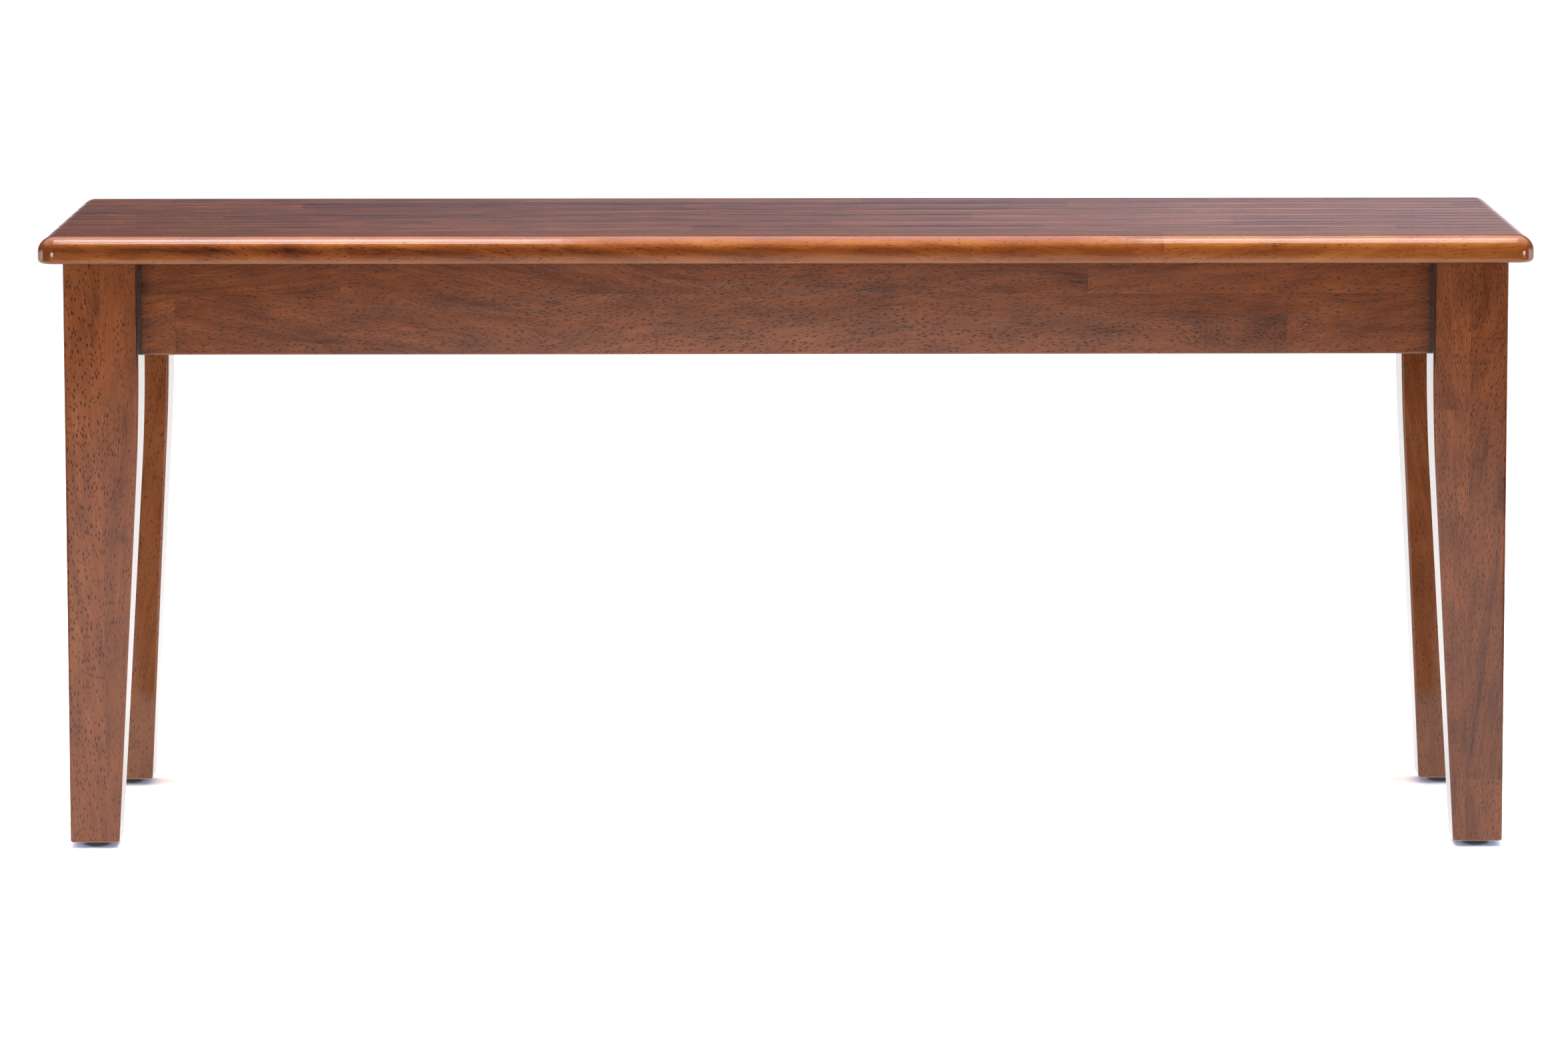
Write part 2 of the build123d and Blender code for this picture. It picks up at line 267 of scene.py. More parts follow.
@dataclass(frozen=True)
class RubberwoodFigure:
    """The figure of rubberwood: staves end to end, faint growth bands, fibres, and short dark pores.

    Lengths and widths are in millimetres. Each stave is cut from a place of its own in the timber, up to
    spread away, and leans from the grain by up to half of lean, sideways and into the piece.
    """

    spread: Point = (3000.0, 400.0, 400.0)
    lean: tuple[float, float] = (0.10, 0.40)
    wave: Pattern = Pattern(190.0, 60.0, 1.0)
    # A swirl pushes the grain sideways, and half as far into the piece.
    push_shares: Point = (0.0, 0.5, 1.0)
    # The pith lies at least this far from a stave, and up to this much further.
    pith_distance: tuple[float, float] = (30.0, 90.0)
    band_width: float = 5.0
    band_closing_share: float = 0.02
    band_roughness: float = 0.6
    bands_between_lots: float = 31.0
    streak: Pattern = Pattern(60.0, 2.4)
    # Real fibres are finer than a render can show, so they are drawn as streaks 0.6 mm wide.
    fibre: Pattern = Pattern(14.0, 0.6)
    blotch: Pattern = Pattern(45.0, 15.0, 1.0)
    # Rubberwood's vessels open on a face as dark dashes 1 to 4 mm long.
    pore: Pattern = Pattern(4.8, 0.9)
    # The reach of the smallest pore as a share of its cell, and how much further the largest reaches.
    pore_size: tuple[float, float] = (0.26, 0.22)
    pore_core_share: float = 0.55
    # Pores crowd in patches: from a quarter of the usual number to 1.6 times as many.
    pore_patch: Pattern = Pattern(45.0, 12.0, 1.0)
    pore_crowding: tuple[float, float, float, float] = (0.38, 0.62, 0.25, 1.6)
    # A glue line between staves is dark to the first of these distances and gone at the second.
    joint_line: tuple[float, float] = (0.15, 0.5)
    band_weight: float = 0.24
    streak_weight: float = 0.26
    fibre_weight: float = 0.50
    blotch_weight: float = 0.50
    stave_weight: float = 0.22
    pore_depth: float = 0.035
    fibre_relief: float = 0.022
    joint_depth: float = 0.008

    def group(self) -> Tree:
        """Draws the figure as a node group, once.

        Returns:
            The group.
        """
        name = "rubberwood_figure"
        if name in bpy.data.node_groups:
            return bpy.data.node_groups[name]
        tree = bpy.data.node_groups.new(name, "ShaderNodeTree")
        results = ("figure", "pores", "joint", "fibre", "height")
        tree.interface.new_socket(name="grain_point", in_out="INPUT", socket_type="NodeSocketVector")
        for way, names in (("INPUT", (*FIGURE_VALUES, "push")), ("OUTPUT", results)):
            for value in names:
                tree.interface.new_socket(name=value, in_out=way, socket_type="NodeSocketFloat")
        given = tree.nodes.new("NodeGroupInput").outputs
        add = partial(add_node, tree)
        stave = self._staves(tree, given)
        point, lot_point = self._grown(tree, given, stave)
        bands = self._bands(tree, given, point, stave)
        streaks = self.streak.stretch(tree, lot_point)
        streaks = add("VectorMath", (streaks, given["streak_scale"]), operation="DIVIDE")[0]
        streak = add("TexNoise", {"Vector": streaks, "Scale": 1.0, "Detail": self.streak.detail})[0]
        fibre, blotch, patch = (
            pattern.noise(tree, lot_point)[0] for pattern in (self.fibre, self.blotch, self.pore_patch)
        )
        pores = self._pores(tree, given, lot_point, patch)
        fine = add("CombineXYZ", (bands, streak, fibre))[0]
        broad = add("CombineXYZ", (blotch, stave["value"], 1.0))[0]
        relief = add("CombineXYZ", (fibre, pores, stave["joint"]))[0]
        fine_weights = (self.band_weight, self.streak_weight, self.fibre_weight)
        middle = -(sum(fine_weights) + self.blotch_weight + self.stave_weight) / 2
        sums = [
            add("VectorMath", (parts, weights), operation="DOT_PRODUCT")["Value"]
            for parts, weights in (
                (fine, fine_weights),
                (broad, (self.blotch_weight, self.stave_weight, middle)),
                (relief, (self.fibre_relief, -self.pore_depth, -self.joint_depth)),
            )
        ]
        swing = add("Math", sums[:2], operation="ADD")[0]
        tone = add("Math", (given["tone"], 0.5), operation="ADD")[0]
        figure = add("Math", (swing, given["contrast"], tone), operation="MULTIPLY_ADD", use_clamp=True)[0]
        drawn = tree.nodes.new("NodeGroupOutput")
        for result, socket in zip(results, (figure, pores, stave["joint"], fibre, sums[2])):
            tree.links.new(socket, drawn.inputs[result])
        return tree

    def _staves(self, tree: Tree, given: bpy.types.NodeOutputs) -> dict[str, Socket]:
        """Divides the grain's length into staves.

        Args:
            tree: The group's tree.
            given: The group's inputs.

        Returns:
            Each stave's own random colour and value, how far along it a point is, and its joint line.
        """
        add = partial(add_node, tree)
        along = add("SeparateXYZ", (given["grain_point"],))[0]
        run = add("Math", (along, given["first_joint"]), operation="SUBTRACT")[0]
        count = add("Math", (run, given["stave_length"]), operation="DIVIDE")[0]
        number = add("Math", (count,), operation="FLOOR")[0]
        share = add("Math", (count,), operation="FRACT")[0]
        key = add("CombineXYZ", (number, given["lot"]))[0]
        own = add("TexWhiteNoise", {"Vector": key}, noise_dimensions="2D")
        centred = add("Math", (share, 0.5), operation="SUBTRACT")[0]
        local = add("Math", (centred, given["stave_length"]), operation="MULTIPLY")[0]
        distance = add("Math", (centred,), operation="ABSOLUTE")[0]
        from_end = add("Math", (0.5, distance), operation="SUBTRACT")[0]
        from_joint = add("Math", (from_end, given["stave_length"]), operation="MULTIPLY")[0]
        joint = add("MapRange", (from_joint, *self.joint_line, 1.0, 0.0))[0]
        return {"colour": own["Color"], "value": own["Value"], "local": local, "joint": joint}

    def _grown(
        self, tree: Tree, given: bpy.types.NodeOutputs, stave: dict[str, Socket]
    ) -> tuple[Socket, Socket]:
        """Bends the grain as it grew in each stave.

        Args:
            tree: The group's tree.
            given: The group's inputs.
            stave: What _staves returned.

        Returns:
            The bent grain point, and the same with each stave in a place of its own.
        """
        add = partial(add_node, tree)
        side, face = self.lean
        lean_terms = (stave["colour"], (0.0, side, face), (0.0, -side / 2, -face / 2))
        lean = add("VectorMath", lean_terms, operation="MULTIPLY_ADD")[0]
        shift = add("VectorMath", {0: lean, "Scale": stave["local"]}, operation="SCALE")[0]
        leaned = add("VectorMath", (given["grain_point"], shift), operation="ADD")[0]
        own_place = add("VectorMath", (stave["colour"], self.spread, leaned), operation="MULTIPLY_ADD")[0]
        # The noise swings by a half each way, so it is doubled to swing by the waviness.
        wave = self.wave.noise(tree, own_place)["Color"]
        centred = add("VectorMath", (wave, (0.5,) * 3), operation="SUBTRACT")[0]
        across = add("VectorMath", (centred, (0.0, 2.0, 2.0)), operation="MULTIPLY")[0]
        waved = add("VectorMath", {0: across, "Scale": given["waviness"]}, operation="SCALE")[0]
        pushed = add("VectorMath", {0: self.push_shares, "Scale": given["push"]}, operation="SCALE")[0]
        bend = add("VectorMath", (waved, pushed), operation="ADD")[0]
        point, lot_point = (
            add("VectorMath", (place, bend), operation="ADD")[0] for place in (leaned, own_place)
        )
        return point, lot_point

    def _bands(
        self, tree: Tree, given: bpy.types.NodeOutputs, point: Socket, stave: dict[str, Socket]
    ) -> Socket:
        """Draws the growth bands round each stave's own pith.

        Args:
            tree: The group's tree.
            given: The group's inputs.
            point: The bent grain point.
            stave: What _staves returned.

        Returns:
            The bands as a value from 0 to 1.
        """
        add = partial(add_node, tree)
        nearest, span = self.pith_distance
        angle = add("Math", (stave["value"], math.tau), operation="MULTIPLY")[0]
        cosine = add("Math", (angle,), operation="COSINE")[0]
        sine = add("Math", (angle,), operation="SINE")[0]
        direction = add("CombineXYZ", (0.0, cosine, sine))[0]
        blue = add("SeparateColor", (stave["colour"],))["Blue"]
        distance = add("Math", (blue, span, nearest), operation="MULTIPLY_ADD")[0]
        pith = add("VectorMath", {0: direction, "Scale": distance}, operation="SCALE")[0]
        away = add("VectorMath", (point, pith), operation="SUBTRACT")[0]
        shares = (self.band_closing_share, 1.0, 1.0)
        flat = add("VectorMath", (away, shares), operation="MULTIPLY")[0]
        radius = add("VectorMath", (flat,), operation="LENGTH")["Value"]
        rings = add("Math", (radius, self.band_width), operation="DIVIDE")[0]
        place = add("Math", (given["lot"], self.bands_between_lots, rings), operation="MULTIPLY_ADD")[0]
        values = {"W": place, "Scale": 1.0, "Detail": 2.0, "Roughness": self.band_roughness}
        return add("TexNoise", values, noise_dimensions="1D")[0]

    def _pores(self, tree: Tree, given: bpy.types.NodeOutputs, point: Socket, patch: Socket) -> Socket:
        """Draws the pores, thicker on the ground in some patches.

        Args:
            tree: The group's tree.
            given: The group's inputs.
            point: The bent grain point, with each stave in a place of its own.
            patch: The noise that says where pores crowd.

        Returns:
            How much of a pore is at a point.
        """
        add = partial(add_node, tree)
        smallest, span = self.pore_size
        fine = self.pore.stretch(tree, point)
        width = add("CombineXYZ", (1.0, given["pore_scale"], given["pore_scale"]))[0]
        place = add("VectorMath", (fine, width), operation="DIVIDE")[0]
        cells = add("TexVoronoi", {"Vector": place, "Scale": 1.0})
        chance = add("SeparateColor", (cells["Color"],))
        rim = add("Math", (chance["Red"], span, smallest), operation="MULTIPLY_ADD")[0]
        core = add("Math", (rim, self.pore_core_share), operation="MULTIPLY")[0]
        dash = add("MapRange", (cells["Distance"], rim, core))[0]
        crowd = add("MapRange", (patch, *self.pore_crowding))[0]
        limit = add("Math", (crowd, given["pore_share"]), operation="MULTIPLY")[0]
        there = add("Math", (chance["Green"], limit), operation="LESS_THAN")[0]
        return add("Math", (dash, there), operation="MULTIPLY")[0]


@dataclass(frozen=True)
class WoodFinish:
    """What is put on a piece of rubberwood, and what that gives the eye."""

    name: str
    slot: Slot
    ramp: tuple[tuple[float, str], ...]
    pore_colour: str
    pore_strength: float
    roughness: tuple[float, float]
    specular: float
    specular_tint: str
    bump_strength: float
    joint_strength: float = 0.15
    coat: float = 0.0
    coat_roughness: float = 0.3
    # How much of the wood's relief still shows in the coat.
    coat_bump_strength: float = 0.0
    # The waves in the lacquer, each with its depth in millimetres.
    coat_waves: tuple[tuple[Pattern, float], ...] = ()
    figure: RubberwoodFigure = RubberwoodFigure()

    def material(self, cut: Cut) -> bpy.types.Material:
        """Puts the finish on one cut of wood.

        Args:
            cut: The cut.

        Returns:
            The material.
        """
        material, tree = new_material(f"{self.name}_{cut.name}")
        add = partial(add_node, tree)
        point = cut.grain_point(tree)
        sums = cut.swirl_sums(tree, point)
        values = {name: getattr(cut, name) for name in FIGURE_VALUES}
        values.update(grain_point=point, push=sums["push"])
        wood = add("Group", values, node_tree=self.figure.group())
        shaded = add("Math", (wood["figure"], sums["darkness"]), operation="SUBTRACT")[0]
        stain = add("ValToRGB", (shaded,))[0]
        stops = stain.node.color_ramp.elements
        while len(stops) < len(self.ramp):
            stops.new(0.5)
        for stop, (position, colour) in zip(stops, self.ramp):
            stop.position = position
            stop.color = linear(colour)
        mark = add("Math", (wood["joint"], self.joint_strength, wood["pores"]), operation="MULTIPLY_ADD")[0]
        marked = add("Math", (mark, self.pore_strength), operation="MULTIPLY", use_clamp=True)[0]
        colour = add("Mix", {0: marked, 6: stain, 7: linear(self.pore_colour)}, data_type="RGBA")[2]
        roughness = add("MapRange", (wood["fibre"], 0.0, 1.0, *self.roughness))[0]
        skin = add("Math", (wood["height"], self.coat_bump_strength), operation="MULTIPLY")[0]
        for pattern, depth in self.coat_waves:
            skin = add("Math", (pattern.noise(tree, point)[0], depth, skin), operation="MULTIPLY_ADD")[0]
        wood_normal, coat_normal = (
            add("Bump", {"Height": height, "Distance": MM, "Strength": strength})[0]
            for height, strength in ((wood["height"], self.bump_strength), (skin, 1.0))
        )
        end_material(
            tree,
            {
                "Base Color": colour,
                "Roughness": roughness,
                "Normal": wood_normal,
                "Specular IOR Level": self.specular,
                "Specular Tint": linear(self.specular_tint),
                "Coat Weight": self.coat,
                "Coat Roughness": self.coat_roughness,
                "Coat Normal": coat_normal,
            },
        )
        return material


# Sprayed lacquer dries with a faint orange peel, and follows the long shallow waves left by sanding.
ORANGE_PEEL = (Pattern(5.0, 5.0, 3.0), 0.03)
SANDING_WAVES = Pattern(220.0, 24.0, 3.0)

# Rubberwood wiped with a walnut stain and sprayed with clear semi-gloss lacquer. The stain makes it a warm
# orange brown with darker purplish streaks, and the pores stay open, dark and a little sunken.
WALNUT_STAIN = WoodFinish(
    name="walnut_stained_rubberwood",
    slot=Slot.STAINED_WOOD,
    ramp=((0.0, "#220d08"), (0.1, "#4a2115"), (0.3, "#6b3720"), (0.6, "#874929"), (1.0, "#a8653f")),
    pore_colour="#2c130d",
    pore_strength=1.0,
    roughness=(0.40, 0.60),
    specular=0.8,
    specular_tint="#f09550",
    bump_strength=0.8,
    coat=1.0,
    coat_roughness=0.10,
    coat_bump_strength=0.3,
    coat_waves=(ORANGE_PEEL, (SANDING_WAVES, 0.12)),
)

# The seat's boards are sanded after they are glued, over a wide flat face, and that leaves deeper waves.
FLAT_SANDED_WALNUT_STAIN = replace(
    WALNUT_STAIN,
    name="flat_sanded_walnut_stained_rubberwood",
    coat_waves=(ORANGE_PEEL, (SANDING_WAVES, 0.5)),
)

# The front board, with the seat's shaped front edge, gets a richer, redder ramp of the same stain: painted
# light that stands in for the warm sheen its rounded edge catches.
EDGE_SHEEN_WALNUT_STAIN = replace(
    WALNUT_STAIN,
    name="edge_sheen_walnut_stained_rubberwood",
    ramp=((0.0, "#1d0a05"), (0.1, "#3f180b"), (0.3, "#652f14"), (0.6, "#87461b"), (1.0, "#aa662c")),
)

# The same timber, sanded and left bare: pale straw with fine brown pores and no gloss.
BARE = WoodFinish(
    name="plain_rubberwood",
    slot=Slot.PLAIN_WOOD,
    ramp=((0.0, "#a98459"), (0.35, "#c7a67a"), (0.65, "#d8bc92"), (1.0, "#e6d0aa")),
    pore_colour="#7d5a38",
    pore_strength=0.7,
    roughness=(0.58, 0.78),
    specular=0.4,
    specular_tint="#ffffff",
    bump_strength=0.9,
)


@dataclass(frozen=True)
class SmallPartFinish(ABC):
    """A finish for small parts: two mottled colours, a range of roughness and a relief in millimetres."""

    slot: Slot
    colours: tuple[str, str]
    roughness: tuple[float, float]
    relief: float
    relief_strength: float = 1.0
    # The noise between these two values goes from the first colour to the second.
    mottle: tuple[float, float] = (0.0, 1.0)
    shader_values: tuple[tuple[str, float], ...] = ()

    @abstractmethod
    def patterns(self, tree: Tree, place: Socket) -> tuple[Socket, Socket, Socket]:
        """Draws the noises that drive the colour, the roughness and the relief."""

    def material(self) -> bpy.types.Material:
        """Mixes the finish.

        Returns:
            The material.
        """
        material, tree = new_material(self.slot.value)
        add = partial(add_node, tree)
        mottling, gloss, height = self.patterns(tree, add("TexCoord")["Object"])
        share = add("MapRange", (mottling, *self.mottle))[0]
        first, second = (linear(colour) for colour in self.colours)
        colour = add("Mix", {0: share, 6: first, 7: second}, data_type="RGBA")[2]
        roughness = add("MapRange", (gloss, 0.0, 1.0, *self.roughness))[0]
        relief = {"Height": height, "Distance": self.relief * MM, "Strength": self.relief_strength}
        bump = add("Bump", relief)[0]
        values = {"Base Color": colour, "Roughness": roughness, "Normal": bump}
        end_material(tree, values | dict(self.shader_values))
        return material


@dataclass(frozen=True)
class TurnedBeech(SmallPartFinish):
    """Fluted beech dowel: pinkish tan with short darker rays along the grain, turned and left bare."""

    slot: Slot = Slot.DOWEL_WOOD
    colours: tuple[str, str] = ("#c49a6c", "#dcbc90")
    roughness: tuple[float, float] = (0.5, 0.75)
    relief: float = 0.03
    mottle: tuple[float, float] = (0.12, 0.4)
    ray: Pattern = Pattern(2.5, 0.35)
    fibre: Pattern = Pattern(12.0, 0.5)

    def patterns(self, tree: Tree, place: Socket) -> tuple[Socket, Socket, Socket]:
        """Draws rays and fibres across the bench, as both pairs of dowels lie.

        Args:
            tree: The material's tree.
            place: The point on the object.

        Returns:
            The noises that drive the colour, the roughness and the relief.
        """
        moves = {"Vector": place, "Rotation": Grain.ACROSS_BENCH.turn, "Scale": (1 / MM,) * 3}
        point = add_node(tree, "Mapping", moves)[0]
        rays, fibres = (pattern.noise(tree, point)[0] for pattern in (self.ray, self.fibre))
        return add_node(tree, "Math", (rays, fibres), operation="MULTIPLY")[0], fibres, fibres


@dataclass(frozen=True)
class ZincPlatedSteel(SmallPartFinish):
    """Bright zinc on cold-formed steel: pale blue-grey, with a faint cloudiness and fine die marks."""

    slot: Slot = Slot.STEEL
    colours: tuple[str, str] = ("#a9adb3", "#cfd3d8")
    roughness: tuple[float, float] = (0.22, 0.46)
    relief: float = 0.01
    shader_values: tuple[tuple[str, float], ...] = (("Metallic", 1.0),)
    # Die marks are finer than a render can show, so they are drawn 0.25 mm apart.
    mark: float = 0.25
    cloud: float = 3.0

    def patterns(self, tree: Tree, place: Socket) -> tuple[Socket, Socket, Socket]:
        """Draws clouds and die marks.

        Args:
            tree: The material's tree.
            place: The point on the object.

        Returns:
            The noises that drive the colour, the roughness and the relief.
        """
        cloud, mark = (
            add_node(tree, "TexNoise", {"Vector": place, "Scale": 1 / (size * MM), "Detail": detail})[0]
            for size, detail in ((self.cloud, 3.0), (self.mark, 1.0))
        )
        return cloud, cloud, mark


@dataclass(frozen=True)
class MouldedNylon(SmallPartFinish):
    """Dark injection-moulded nylon: a satin skin with a fine spark-eroded grain, scuffed a little paler."""

    slot: Slot = Slot.NYLON
    colours: tuple[str, str] = ("#1d1a19", "#3a3634")
    roughness: tuple[float, float] = (0.36, 0.62)
    relief: float = 0.02
    relief_strength: float = 0.6
    mottle: tuple[float, float] = (0.35, 0.7)
    shader_values: tuple[tuple[str, float], ...] = (("IOR", 1.53),)
    scuff: float = 2.2
    grit: float = 0.3

    def patterns(self, tree: Tree, place: Socket) -> tuple[Socket, Socket, Socket]:
        """Draws scuffs and grit.

        Args:
            tree: The material's tree.
            place: The point on the object.

        Returns:
            The noises that drive the colour, the roughness and the relief.
        """
        scuffs = {"Vector": place, "Scale": 1 / (self.scuff * MM), "Detail": 4.0}
        scuff = add_node(tree, "TexNoise", scuffs)[0]
        grit = add_node(tree, "TexVoronoi", {"Vector": place, "Scale": 1 / (self.grit * MM)})["Distance"]
        return scuff, scuff, grit


def new_block(low: Point, high: Point) -> Mesh:
    """Makes a square-edged block of wood.

    Args:
        low: Its lowest corner.
        high: Its highest corner.

    Returns:
        The block.
    """
    block = bmesh.new()
    bmesh.ops.create_cube(block, size=1.0)
    size = Vector(high) - Vector(low)
    bmesh.ops.scale(block, vec=size, verts=block.verts)
    bmesh.ops.translate(block, vec=Vector(low) + size / 2, verts=block.verts)
    return block


def round_edges(piece: Mesh, edges: Iterable[bmesh.types.BMEdge], radius: float, segments: int) -> None:
    """Rounds edges as a router or sander does.

    Args:
        piece: The mesh.
        edges: The edges to round.
        radius: The rounding's radius.
        segments: How many facets the rounding has.
    """
    bmesh.ops.bevel(
        piece,
        geom=list(edges),
        offset=radius,
        offset_type="OFFSET",
        segments=segments,
        profile=0.5,
        affect="EDGES",
        clamp_overlap=False,
        material=-1,
    )


def saw(piece: Mesh, point: Point, away: Point) -> Mesh:
    """Saws a copy of a piece at a plane and keeps the near part, with its sawn face closed.

    Args:
        piece: The mesh, which is left whole.
        point: A point on the plane.
        away: The plane's direction, towards the part that goes.

    Returns:
        The near part.
    """
    part = piece.copy()
    geometry = [*part.verts, *part.edges, *part.faces]
    bmesh.ops.bisect_plane(
        part, geom=geometry, dist=ON_PLANE, plane_co=point, plane_no=away, clear_outer=True
    )
    rim = [edge for edge in part.edges if edge.is_boundary]
    if rim:
        bmesh.ops.edgeloop_fill(part, edges=rim)
    return part


def mirror_to(piece: Mesh, sides: tuple[int, int]) -> Mesh:
    """Copies a rear right piece to another corner.

    Args:
        piece: The rear right piece, which is left as it is.
        sides: The signs of the corner's X and Y.

    Returns:
        The copy.
    """
    copy = piece.copy()
    bmesh.ops.scale(copy, vec=(sides[0], sides[1], 1), verts=copy.verts)
    return copy


def finish_piece(
    piece: Mesh,
    nodes: Iterable[str],
    name: str,
    material: bpy.types.Material,
    sharp_angle: float = 35.0,
) -> bpy.types.Object:
    """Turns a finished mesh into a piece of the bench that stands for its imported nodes.

    Args:
        piece: The mesh in millimetres, which is used up.
        nodes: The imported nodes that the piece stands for.
        name: The piece's name.
        material: The piece's finish.
        sharp_angle: Edges bent by more than this many degrees stay sharp.

    Returns:
        The piece.
    """
    bmesh.ops.remove_doubles(piece, verts=piece.verts, dist=WELD)
    bmesh.ops.recalc_face_normals(piece, faces=piece.faces)
    bmesh.ops.scale(piece, vec=(MM, MM, MM), verts=piece.verts)
    for face in piece.faces:
        face.smooth = True
    for edge in piece.edges:
        edge.smooth = edge.calc_face_angle(0.0) < math.radians(sharp_angle)
    data = bpy.data.meshes.new(name)
    piece.to_mesh(data)
    piece.free()
    data.materials.append(material)
    made = bpy.data.objects.new(name, data)
    bpy.context.scene.collection.objects.link(made)
    weighted = made.modifiers.new("even_shading", "WEIGHTED_NORMAL")
    weighted.keep_sharp = True
    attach(made, "root")
    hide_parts(*nodes)
    logger.info("%s: %d faces", name, len(data.polygons))
    return made


def dress_node(node: bpy.types.Object, material: bpy.types.Material) -> None:
    """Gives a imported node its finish.

    Args:
        node: The node.
        material: The finish.
    """
    if not node.material_slots:
        node.data.materials.append(material)
    for slot in node.material_slots:
        slot.material = material
    logger.info("%s: dressed as packed", node.name)


CORNERS = {
    "rear_right": (1, 1),
    "rear_left": (-1, 1),
    "front_right": (1, -1),
    "front_left": (-1, -1),
}


@dataclass
class Seat:
    """The seat: seven boards glued edge to edge, with a large round above its edge and a small one below."""

    length: float = 1100.0
    depth: float = 350.0
    thickness: float = 20.0
    height: float = 457.0
    corner_round: float = 13.0
    top_round: float = 12.0
    bottom_round: float = 3.5
    corner_facets: int = 14
    top_facets: int = 16
    bottom_facets: int = 6
    first_lot: float = 11.0
    # One row for each board, from the front.
    columns: tuple[str, ...] = ("first_joint", "stave_length", "tone", "pore_share", "contrast")
    boards: tuple[tuple[float, ...], ...] = (
        (-162.7, 440.0, 0.12, 0.3, 1.25),
        (-70.0, 262.0, 0.07, 0.5, 2.2),
        (35.0, 301.0, 0.06, 0.5, 2.2),
        (-426.0, 284.0, 0.09, 0.5, 2.2),
        (-228.0, 270.0, 0.07, 0.5, 2.2),
        (-372.0, 295.0, 0.04, 0.5, 2.2),
        (60.0, 268.0, 0.06, 0.5, 2.2),
    )
    # The front board's figure waves along its rounded edge, and the others have long straight streaks.
    front_waviness: float = 14.0
    front_pore_scale: float = 0.8
    waviness: float = 7.0
    streak_scale: float = 4.0
    # The front edge's bands: a painted highlight high on its rounded edge, a darker band along its middle,
    # and a painted reflection of the bright floor on its lower round; then a dark streak and a swirl of
    # figure near its left end.
    front_figure_and_painted_light: tuple[Swirl, ...] = (
        # Painted highlight: lighter where the rounded edge mirrors the soft boxes.
        Swirl(along=0.0, side=5.5, reach=(900.0, 3.0), darkness=-0.22),
        Swirl(along=0.0, side=0.0, reach=(900.0, 3.6), darkness=0.17),
        # Painted reflection: lighter on the lower round, where it mirrors the bright floor.
        Swirl(along=0.0, side=-9.8, reach=(900.0, 2.4), darkness=-0.35),
        Swirl(along=-410.0, side=0.5, reach=(130.0, 4.0), darkness=0.20),
        Swirl(along=-362.0, side=-13.0, reach=(52.0, 15.0), push=15.0, darkness=0.04),
    )

    def slab(self) -> Mesh:
        """Makes the whole seat, before its glue lines are cut.

        Returns:
            The slab.
        """
        low = (-self.length / 2, -self.depth / 2, self.height - self.thickness)
        slab = new_block(low, (self.length / 2, self.depth / 2, self.height))
        upright = [e for e in slab.edges if abs(e.verts[0].co.z - e.verts[1].co.z) > ON_FACE]
        round_edges(slab, upright, self.corner_round, self.corner_facets)
        top = max(slab.faces, key=lambda face: face.calc_center_median().z)
        round_edges(slab, top.edges, self.top_round, self.top_facets)
        bottom = min(slab.faces, key=lambda face: face.calc_center_median().z)
        round_edges(slab, bottom.edges, self.bottom_round, self.bottom_facets)
        return slab

    def build(self, finish: WoodFinish, edge_finish: WoodFinish) -> None:
        """Cuts the seat along its glue lines and dresses each board.

        Args:
            finish: The boards' finish.
            edge_finish: The finish of the front board, with the edge that shows most.
        """
        slab = self.slab()
        width = self.depth / len(self.boards)
        front_wood = {
            "pore_scale": self.front_pore_scale,
            "waviness": self.front_waviness,
            "swirls": self.front_figure_and_painted_light,
        }
        other_wood = {"streak_scale": self.streak_scale, "waviness": self.waviness}
        for number, row in enumerate(self.boards):
            front = number * width - self.depth / 2
            board = slab.copy()
            if number > 0:
                board = saw(board, (0, front, 0), (0, -1, 0))
            if number < len(self.boards) - 1:
                board = saw(board, (0, front + width, 0), (0, 1, 0))
            node = f"seat_board_{number + 1}"
            cut = Cut(
                name=node,
                grain=Grain.ALONG_BENCH,
                centre=(0.0, front + width / 2, self.height - self.thickness / 2),
                lot=self.first_lot + number,
                **(front_wood if number == 0 else other_wood),
                **dict(zip(self.columns, row)),
            )
            board_finish = edge_finish if number == 0 else finish
            finish_piece(board, [node], f"{node}_finished", board_finish.material(cut))


